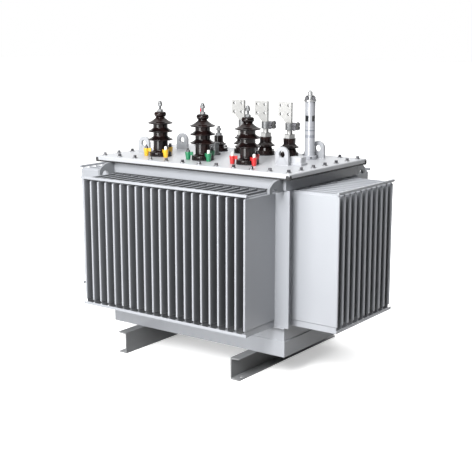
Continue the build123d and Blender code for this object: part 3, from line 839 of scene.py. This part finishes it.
def bead(path, radius, sides=6):
    """Circle of radius r (1 + c cos(2 pi s / ripple length)), with c the ripple's share, carried along the
    path, square to its tangent; it closes to a point at both ends."""
    points, run = evenly(path)
    tangent = np.gradient(points, axis=0)
    tangent /= np.linalg.norm(tangent, axis=1, keepdims=True)
    upright = np.abs(tangent[:, 2:]) > 0.7
    guide = np.where(upright, [[1.0, 0.3, 0.0]], [[0.0, 0.0, 1.0]])
    side = np.cross(tangent, guide)
    side /= np.linalg.norm(side, axis=1, keepdims=True)
    other = np.cross(side, tangent)
    size = radius * (1 + ripple_share * np.cos(2 * np.pi * run / ripple_length))
    size[[0, -1]] = 0
    angle = np.linspace(0, 2 * np.pi, sides, endpoint=False)
    ring = np.cos(angle)[None, :, None] * side[:, None] + np.sin(angle)[None, :, None] * other[:, None]
    return sheet(points[:, None] + size[:, None, None] * ring, wrap_v=True)


def loop_at(half_x, half_y, z, centre=(0.0, 0.0)):
    """A closed level rectangle as a path."""
    around = [(-1, -1), (1, -1), (1, 1), (-1, 1), (-1, -1)]
    return [(centre[0] + sx * half_x, centre[1] + sy * half_y, z) for sx, sy in around]


def half_size(name):
    """Half of a node's length and width, in millimetres."""
    return (high_corner(name) - low_corner(name))[:2] / 2 / MM


print("a metre of bead has", len(bead([(0, 0, 0), (1000, 0, 0)], 2.0)[1]), "faces")

# %% Beads round the tank
band_bead, post_bead, hook_bead = 2.4, 1.8, 2.4
base_bead, base_bead_inset = 2.6, 4.0
hook_bead_inset = 3.0
base_half = half_size("base_frame")
wall_face = abs(low_corner("corner_post_front_left")[:2]) / MM
wall_low, wall_high = low_corner("corner_post_front_left")[2] / MM, low_corner("top_frame")[2] / MM
seam_x, seam_y = half_size("fin_wall_front")[0], half_size("fin_wall_right")[1]
tank_beads = [bead(loop_at(*(base_half - base_bead_inset), high_corner("base_frame")[2] / MM), base_bead),
              bead(loop_at(*wall_face, wall_high), band_bead)]
for sx in (-1, 1):
    for sy in (-1, 1):
        for x, y in ((seam_x, wall_face[1]), (wall_face[0], seam_y)):
            tank_beads.append(bead([(sx * x, sy * y, wall_low), (sx * x, sy * y, wall_high)], post_bead))
for corner in corners:
    low, high = low_corner(f"lashing_hook_{corner}") / MM, high_corner(f"lashing_hook_{corner}") / MM
    root = low[1] if abs(low[1]) < abs(high[1]) else high[1]
    foot_z, head_z = low[2] + hook_bead_inset, high[2] - hook_bead_inset
    for x in (low[0], high[0]):
        tank_beads.append(bead([(x, root, foot_z), (x, root, head_z)], hook_bead))
make_piece("tank_weld_beads", millimetres(joined(*tank_beads)), paints["tank_paint"])

# %% Beads that shut the fins
seam_bead, seam_bead_inset = 2.0, 1.0
seam_beads = []
for bank, (end_fin, depth, face, turn) in fin_banks.items():
    fin_middles = np.arange(-end_fin, end_fin + 1, fin_pitches[bank])
    for z in (fin_low + seam_bead_inset, fin_high - seam_bead_inset):
        weld = bead([(0, 0, z), (0, seam_setback - depth, z)], seam_bead, sides=5)
        row = copies(weld, np.stack([fin_middles, 0 * fin_middles, 0 * fin_middles], -1))
        seam_beads.append(copies(row, [face[0], face[1], 0.0], turn))
make_piece("fin_seam_welds", millimetres(joined(*seam_beads)), paints["tank_paint"])

# %% Beads round the lifting lugs
lug_bead = 3.0
lug_beads = []
for corner in corners:
    middle = foot(f"lifting_lug_{corner}") / MM
    lug_loop = loop_at(*half_size(f"lifting_lug_{corner}"), middle[2], middle[:2])
    lug_beads.append(bead(lug_loop, lug_bead))
make_piece("lug_weld_beads", millimetres(joined(*lug_beads)), paints["cover_paint"])

# %% [markdown]
# ## Cover bolts
#
# Thirty-four bolts hold the cover down on its gasket, evenly spaced along each edge. Each could be an
# object of its own, but as one piece they are quicker to handle and to render. One bolt is made at the
# origin and copied by adding its place to its points. Nobody lines up the corners of bolt heads, so each is
# turned by the golden angle more than the one before, which never repeats.

# %% Bolts and washers round the cover's edge
bolt_inset = np.array([26.8, 36.4])
bolts_long, bolts_short = 12, 7
golden_angle = math.pi * (3 - math.sqrt(5))
reach_x, reach_y = cover_half / MM - bolt_inset
along_x = np.linspace(-reach_x, reach_x, bolts_long)
along_y = np.linspace(-reach_y, reach_y, bolts_short)[1:-1]
bolt_places = np.array([(x, y, cover_top / MM) for y in (-reach_y, reach_y) for x in along_x]
                       + [(x, y, cover_top / MM) for x in (-reach_x, reach_x) for y in along_y])
bolt_turns = np.arange(len(bolt_places)) * golden_angle
washer_radius, washer_thickness = 12.0, 2.5
cover_bolt = raised(hex_head(flats=13.0, height=10.5), washer_thickness)
cover_washer = washer(washer_radius, 0, washer_thickness)
make_piece("cover_washers", millimetres(copies(cover_washer, bolt_places)), zinc)
make_piece("cover_bolts", millimetres(copies(cover_bolt, bolt_places, bolt_turns)), blackened)
print("cover bolts:", len(bolt_places))

# %% [markdown]
# ## Painted shade under the cover's lip
#
# Under the lower edge of the cover's lip lies a thin line of shade, and where the lip is cut away at the
# corner a dark arch of shade. A dark paint could draw the line, but not fill the corner, so both are painted
# shade made as dark pieces in the rubber material: a strip along each side of the lip, and a plug in each
# corner. The strip is the rounded plate of the corners again, and the plug is turned.

# %% Painted shade strips along the lip and plugs in its corners
lip_foot = low_corner("cover")[2] / MM
cover_x, cover_y = cover_half / MM
strip_foot, strip_head = lip_foot - 0.5, lip_foot + 7.0
strip_back, strip_proud, strip_end_gap, strip_edge = 3.0, 0.8, 10.0, 0.8
lip_shade_strips = []
for half_length, half_width, turn in ((cover_x, cover_y, 0.0), (cover_y, cover_x, math.pi / 2)):
    half_length -= strip_end_gap
    for sign in (-1, 1):
        near, far = sorted([sign * (half_width - strip_back), sign * (half_width + strip_proud)])
        strip = upright_plate(np.array([-half_length, near, strip_foot]),
                              np.array([half_length, far, strip_head]), strip_edge)
        lip_shade_strips.append(copies(strip, [0.0, 0.0, 0.0], turn))
plug_outline = [(0, 0), (12.5, 0), (12.5, 22), (0, 22)]
plug_inset, plug_drop, plug_round = 9.0, 2.0, 9.0
plug_places = [(sx * (cover_x - plug_inset), sy * (cover_y - plug_inset), lip_foot - plug_drop)
               for sx in (-1, 1) for sy in (-1, 1)]
corner_shade_plugs = copies(turned(rounded(plug_outline, plug_round, 6), 32), plug_places)
# Dark pieces put where there is only shade: painted shade.
make_piece("lip_painted_shade", millimetres(joined(*lip_shade_strips, corner_shade_plugs)), rubber)

# %% [markdown]
# ## Porcelain
#
# An insulator is thrown and turned like a pot, so it is a surface of revolution. Its sheds carry rain
# away and lengthen the path that a leakage current would have to take. The roof of a shed is hollow, its
# tip thin, and the glaze rounds every edge. It could be built from stacked cones and bevelled, but then the
# hollow roofs would be lost. The outline is drawn as a few corners (radius, height) in millimetres above
# the cover's gasket, and the soft-corner function does what the glaze does.

# %% The high-voltage insulator
roof_hollow = 1.4
roof_inset, roof_rise = 3.0, 1.0


def shed_outline(core, tip, height, crown):
    """Corners of one shed: underside, blunt tip, and a roof up to the crown (radius, height), hollow
    because its height rises as the 1.4th power of the way in."""
    under = [(core, height - 6), (tip - 5, height - 5.5), (tip, height - 4), (tip, height)]
    share = np.array([0.0, 0.3, 0.62, 1.0])
    edge = np.array([tip - roof_inset, height + roof_rise])
    radius = edge[0] + (crown[0] - edge[0]) * share
    level = edge[1] + (crown[1] - edge[1]) * share ** roof_hollow
    return [*under, *zip(radius, level)]


hv_core, hv_tip, hv_neck, hv_cap_top = 34.0, half_size("hv_porcelain_a")[0], 21.0, 203.0
hv_outline = [(0, 0), (51, 0), (51, 17), (41, 17), (33.5, 24), (hv_core, 33)]
for height, crown in ((76, (hv_core, 89)), (115, (hv_core, 128)), (153, (hv_neck, 175))):
    hv_outline += shed_outline(hv_core, hv_tip, height, crown)
bulge = np.radians(np.linspace(-90, 90, 9))
bulge_middle, bulge_reach = np.array([19.4, 191.5]), np.array([9.0, 11.5])
bulge_points = bulge_middle + bulge_reach * np.stack([np.cos(bulge), np.sin(bulge)], -1)
hv_outline += [(hv_neck, 180), *bulge_points, (0, hv_cap_top)]
hv_surface = turned(rounded(hv_outline, 2.6), 64)
for phase, axis in zip(phases, hv_axes):
    make_piece(f"hv_insulator_{phase}", millimetres(copies(hv_surface, axis / MM)), glaze,
               (f"hv_porcelain_{phase}",), crisp=60)

# %% The low-voltage and neutral insulators
lv_waist, lv_cap_top = 27.0, 83.0
lv_outline = [(0, 0), (42, 0), (42, 17), (35, 17), (lv_waist, 38)]
lv_outline += shed_outline(lv_waist, half_size("lv_porcelain_a")[0], 44, (27.5, 56))[1:]
lv_outline += [(29.5, 82), (28, lv_cap_top), (0, lv_cap_top)]
lv_surface = turned(rounded(lv_outline, 2.2), 56)
for phase, axis in zip(phases, lv_axes):
    make_piece(f"lv_insulator_{phase}", millimetres(copies(lv_surface, axis / MM)), glaze,
               (f"lv_porcelain_{phase}",), crisp=60)

neutral_axis = foot("neutral_porcelain")
neutral_core, neutral_head, neutral_cap_top = 27.0, 22.0, 71.0
neutral_outline = [(0, 0), (44, 0), (44, 12), (neutral_core, 12), (neutral_core, 25)]
neutral_outline += shed_outline(neutral_core, 37, 32, (neutral_head, 41))[1:]
neutral_outline += [(neutral_head, neutral_cap_top), (0, neutral_cap_top)]
neutral_surface = turned(rounded(neutral_outline, 2.0), 48)
make_piece("neutral_insulator", millimetres(copies(neutral_surface, neutral_axis / MM)), glaze,
           ("neutral_porcelain",), crisp=60)

# %% [markdown]
# ## Terminals
#
# A threaded stud comes out of each insulator, and a hexagon nut on a washer closes the porcelain. Higher up
# a second nut waits for the cable, on the high-voltage studs with a domed one over it. On the low-voltage
# side a split clamp grips the stud and carries a flat flag for a busbar, and its sleeve and bolts are
# added here. All are turned forms stacked up the stud, because each lies on the one below. The studs stand
# for the plain CAD ones, at the same heights.

# %% Nuts stacked up a stud


def nut_on_washer(disc_radius, disc_height, flats, nut_height, level):
    """A washer at a level and a hexagon nut on it."""
    return joined(washer(disc_radius, level, disc_height),
                  raised(hex_head(flats, nut_height), level + disc_height))


dome_outline = [(0, 0), (9, 0), (9, 3), (7.8, 8), (4.6, 11.5), (0, 12.6)]
dome = turned(rounded(dome_outline, 1.5), 28)
print("a domed nut's cap has", len(dome[1]), "faces")

# %% High-voltage studs
hv_cable_level, hv_cable_nut_foot, dome_foot, hv_stud_end = 230.0, 232.0, 241.0, 240.0
hv_stud_parts = joined(nut_on_washer(14, 2, 22, 9, hv_cap_top),
                       threaded_rod(6, hv_cap_top + 1, hv_stud_end),
                       washer(11.5, hv_cable_level, 1.8),
                       raised(hex_head(19, dome_foot - hv_cable_nut_foot), hv_cable_nut_foot),
                       raised(dome, dome_foot))
for phase, axis in zip(phases, hv_axes):
    make_piece(f"hv_stud_{phase}", millimetres(copies(hv_stud_parts, axis / MM)), dull_zinc,
               (f"hv_terminal_{phase}",))

# %% Neutral stud
neutral_cable_level, neutral_stud_end = 96.0, 118.0
neutral_parts = joined(nut_on_washer(17, 2, 26, 11, neutral_cap_top),
                       threaded_rod(7, neutral_cap_top + 1, neutral_stud_end),
                       nut_on_washer(12.5, 2, 21, 9, neutral_cable_level))
make_piece("neutral_stud", millimetres(copies(neutral_parts, neutral_axis / MM)), dull_zinc,
           ("neutral_terminal",))

# %% Clamp bolts on the flag terminals
ear_middle, ear_front, ear_back = 28.0, 0.0, 22.0
clamp_levels = (129.0, 146.0)
shank = turned([(0, -6), (4, -6), (4, 0), (0, 0)], 16)
bolt_end = joined(hex_head(19, 10), shank)
front_end, rear_end = laid_along(bolt_end, (0, -1)), laid_along(bolt_end, (0, 1))
clamp_bolts = joined(*[copies(end, [ear_middle, y, level]) for level in clamp_levels
                       for end, y in ((front_end, ear_front), (rear_end, ear_back))])
lv_seats = lv_axes / MM
make_piece("clamp_bolts", millimetres(copies(clamp_bolts, lv_seats)), blackened)

# %% Clamp sleeves and the threads below them
sleeve_radius, sleeve_low, sleeve_high = 20.7, 121.5, 153.5
sleeve_outline = [(0, sleeve_low), (sleeve_radius, sleeve_low), (sleeve_radius, sleeve_high),
                  (0, sleeve_high)]
sleeve = turned(rounded(sleeve_outline, 1.5), 36)
make_piece("clamp_sleeves", millimetres(copies(sleeve, lv_seats)), dull_zinc)
thread_low, thread_length = 101.0, 20.0
lv_thread = raised(threaded_rod(13.2, 0, thread_length, pitch=2.5), thread_low)
lv_stud_parts = joined(washer(26, lv_cap_top, 0.8), lv_thread)
make_piece("lv_stud_threads", millimetres(copies(lv_stud_parts, lv_seats)), zinc)

# %% [markdown]
# ## Claws and caps
#
# Three cast claws press each high-voltage insulator down on its gasket. Each claw has a stud and a nut, and
# some of the nuts wear a pale plastic cap. The cap hides its nut, so a claw gets one or the other. Which
# claws are capped follows no rule, so it is a table of yes and no, one row for each insulator, and the
# table picks the places out of the array.

# %% Caps on the claws
claw_circle = 68.0
claw_turns = np.radians([90, 210, 330])
claw_top = high_corner("hv_claws_a")[2] / MM
capped = np.array([[False, False, True], [False, False, True], [False, True, True]])
round_axis = np.stack([claw_circle * np.cos(claw_turns), claw_circle * np.sin(claw_turns)], -1)
claw_places = hv_axes[:, None, :2] / MM + round_axis
claw_places = np.concatenate([claw_places, np.full((3, 3, 1), claw_top)], -1)
cap_outline = [(0, 0), (6.6, 0), (6.6, 11), (5, 15.5), (0, 16.5)]
cap = turned(rounded(cap_outline, 1.6), 24)
make_piece("claw_caps", millimetres(copies(cap, claw_places[capped])), nylon_cap)
bare_stud = joined(hex_head(15, 8), threaded_rod(4.5, 7, 16))
make_piece("claw_studs", millimetres(copies(bare_stud, claw_places[~capped])), blackened)

# %% [markdown]
# ## The gauge's fittings
#
# The gauge tube has four dark sight windows, two bolts on its flange with a set screw between them, and a
# filler cap held down by four nuts. The CAD tube has the recesses, so a window is only a flat pane laid in
# each. The cap could be cut from one block, but three turned discs, one on the other, read as the collar,
# boss and nipple that they are, with a hexagon on top to turn it by.

# %% Gauge windows
gauge_axis = foot("gauge_tube") / MM
gauge_top = high_corner("gauge_tube")[2] / MM - gauge_axis[2]
window_turns = np.radians(np.arange(4) * 90.0 - 10.0)
window_half, window_low, window_high, window_depth = 9.6, 173.4, 199.6, 19.8
pane = sheet(np.array([[[window_depth, side * window_half, z] for z in (window_low, window_high)]
                       for side in (-1, 1)]))
panes = copies(pane, np.zeros((4, 3)), window_turns)
make_piece("gauge_windows", millimetres(copies(panes, gauge_axis)), sight_glass,
           drawn_outwards=True)

# %% Bolts on the gauge


def ring_places(radius, turns, height):
    """Places on a circle round Z: x = r cos a, y = r sin a."""
    return np.stack([radius * np.cos(turns), radius * np.sin(turns), height + 0 * turns], -1)


flange_turns, flange_circle, flange_top = np.radians([36.0, 216.0]), 27.5, 18.0
flange_bolts = copies(hex_head(9, 6), gauge_axis + ring_places(flange_circle, flange_turns, flange_top))
screw_turn, screw_reach, screw_level = math.radians(-47), 31.5, 10.0
screw = laid_along(hex_head(7, 4), (math.cos(screw_turn), math.sin(screw_turn)))
screw = copies(screw, gauge_axis + ring_places(screw_reach, np.array([screw_turn]), screw_level))
collar_height, cap_nut_circle = 10.0, 21.0
cap_nut_turns = np.radians(np.arange(4) * 90.0 - 14.0)
cap_nut = joined(hex_head(15, 12), threaded_rod(4.5, 11, 17))
cap_nut_places = ring_places(cap_nut_circle, cap_nut_turns, gauge_top + collar_height)
cap_nuts = copies(cap_nut, gauge_axis + cap_nut_places)
make_piece("gauge_bolts", millimetres(joined(flange_bolts, screw, cap_nuts)), blackened)

# %% Filler cap
boss_height, nipple_height = 19.0, 16.0
collar = [(0, 0), (27, 0), (28, 1), (28, 8), (26, collar_height), (0, collar_height)]
boss = [(0, 0), (16, 0), (16, 16), (13, boss_height), (0, boss_height)]
nipple = [(0, 0), (10.4, 0), (10.4, 14), (8, nipple_height), (0, nipple_height)]
nipple_foot = collar_height + boss_height
filler = joined(turned(rounded(collar, 1.2), 44),
                raised(turned(rounded(boss, 1.5), 36), collar_height),
                raised(turned(rounded(nipple, 1), 28), nipple_foot),
                raised(hex_head(9, 6), nipple_foot + nipple_height))
make_piece("gauge_filler_cap", millimetres(copies(raised(filler, gauge_top), gauge_axis)), zinc,
           ("gauge_cap",))

# %% [markdown]
# ## The red tag
#
# A small red peg hangs on the middle high-voltage stud. It has nothing printed on it. It is a turned form
# with softened ends, because at this size only its colour shows.

# %% The red tag on the middle stud
tag_middle = hv_axes[1] / MM + np.array([-9.0, -4.0, 222.0])
tag_radius, tag_half = 3.2, 7.0
tag_outline = [(0, -tag_half), (tag_radius, -tag_half), (tag_radius, tag_half), (0, tag_half)]
tag = turned(rounded(tag_outline, 1.0), 16)
make_piece("red_tag", millimetres(copies(tag, tag_middle)), red_tag)

# %% [markdown]
# ## Floor, light and camera
#
# The floor is a plain pale sheet. It glows faintly, so that the shadow on it stays as pale as on a lit
# backdrop. A white floor would also throw light up under the tank, which the photograph doesn't show, so it
# is hidden from the rays that bounce off dull surfaces. One large soft lamp stands in front, a little to
# the right, and a lower one lights the foot of the front wall. A third behind lights the back, but doesn't
# show in glossy paint. The sky is bright overhead and behind the tank, which keeps the cover light, and the
# camera sees it as plain white. A picture of a studio could light the scene as well, but a formula needs no
# file. The camera was solved from the photograph: its place, its turn and its lens.

# %% Floor
floor_reach = 40.0
floor_grid = np.array([[[x, y, 0.0] for y in (-floor_reach, floor_reach)]
                       for x in (-floor_reach, floor_reach)])
floor_points, floor_faces = sheet(floor_grid)
floor_mesh = bpy.data.meshes.new("floor")
floor_mesh.from_pydata(floor_points.tolist(), [], floor_faces.tolist())
floor = bpy.data.objects.new("floor", floor_mesh)
bpy.context.scene.collection.objects.link(floor)
floor_paint = plain("pale_floor", (0.95, 0.95, 0.95), 0.9)
floor_shader = floor_paint.node_tree.nodes["Principled BSDF"]
floor_shader.inputs["Emission Color"].default_value = (1, 1, 1, 1)
floor_shader.inputs["Emission Strength"].default_value = 0.4
floor_mesh.materials.append(floor_paint)
floor.visible_diffuse = False
print("floor", 2 * floor_reach, "m wide")

# %% Soft lamps
lamp_aim = (0.0, 0.0, 0.6)
lamp_distance = 4.2


def soft_lamp(name, size, watts, azimuth, elevation):
    """A rectangular soft lamp that looks at the tank from an azimuth, where 0 is the front and 90 the right,
    and from an elevation, both in degrees."""
    lamp = bpy.data.lights.new(name, "AREA")
    lamp.shape = "RECTANGLE"
    lamp.size, lamp.size_y = size
    lamp.energy = watts
    holder = bpy.data.objects.new(name, lamp)
    bpy.context.scene.collection.objects.link(holder)
    turn, rise = math.radians(azimuth), math.radians(elevation)
    back = np.array([math.sin(turn) * math.cos(rise), -math.cos(turn) * math.cos(rise), math.sin(rise)])
    holder.location = Vector(back * lamp_distance) + Vector(lamp_aim)
    holder.rotation_mode = "QUATERNION"
    holder.rotation_quaternion = Vector(back).to_track_quat("Z", "Y")
    return holder


soft_lamp("front_softbox", (1.9, 1.9), watts=246, azimuth=14, elevation=32)
soft_lamp("low_front_softbox", (2.2, 1.2), watts=115, azimuth=-8, elevation=3)
rear_fill = soft_lamp("rear_fill", (2.2, 2.2), watts=130, azimuth=222, elevation=20)
rear_fill.visible_glossy = False

# %% A graded sky
rear_glow = (0.35, 0.9)
overhead_glow = (0.5, 0.95)


def graded_sky(behind, dim, rear, overhead):
    """Strength = dim + rear * ease(d . behind) + overhead * ease(d . up) for a direction d, where ease is
    3 t^2 - 2 t^3 between two limits. A camera ray gets 1, so the backdrop is white."""
    sky = bpy.data.worlds.new("studio_sky")
    bpy.context.scene.world = sky
    sky.use_nodes = True
    tree = sky.node_tree
    look = node(tree, "ShaderNodeTexCoord").outputs["Generated"]
    strength = dim
    for axis, (start, full), most in ((behind, rear_glow, rear), ((0, 0, 1), overhead_glow, overhead)):
        share = node(tree, "ShaderNodeVectorMath", [(0, look), (1, axis)], operation="DOT_PRODUCT")
        eased = node(tree, "ShaderNodeMapRange",
                     [("Value", share.outputs["Value"]), ("From Min", start), ("From Max", full),
                      ("To Min", 0.0), ("To Max", most)], interpolation_type="SMOOTHSTEP")
        total = node(tree, "ShaderNodeMath", [(0, eased.outputs["Result"]), (1, strength)],
                     operation="ADD")
        strength = total.outputs[0]
    seen = node(tree, "ShaderNodeLightPath").outputs["Is Camera Ray"]
    shown = node(tree, "ShaderNodeMix", [(0, seen), (2, strength), (3, 1.0)], data_type="FLOAT")
    tree.nodes["Background"].inputs["Color"].default_value = (1, 1, 1, 1)
    tree.links.new(shown.outputs[0], tree.nodes["Background"].inputs["Strength"])


photo_azimuth = math.radians(36.2)
behind_tank = (-math.sin(photo_azimuth), math.cos(photo_azimuth), 0.0)
graded_sky(behind_tank, dim=0.03, rear=0.9, overhead=1.95)
bpy.context.scene.view_settings.view_transform = "Standard"
print("world:", bpy.context.scene.world.name)

# %% Camera
camera_turn, camera_dip = math.radians(36.15), math.radians(11.54)
camera = bpy.data.cameras.new("photo_view")
camera.sensor_width = 36.0
camera.lens = 76.87
eye = bpy.data.objects.new("photo_view", camera)
bpy.context.scene.collection.objects.link(eye)
eye.location = (2.7833, -3.7583, 1.4877)
eye.rotation_euler = (math.pi / 2 - camera_dip, 0, camera_turn)
bpy.context.scene.camera = eye
print("camera at", tuple(round(v, 2) for v in eye.location))
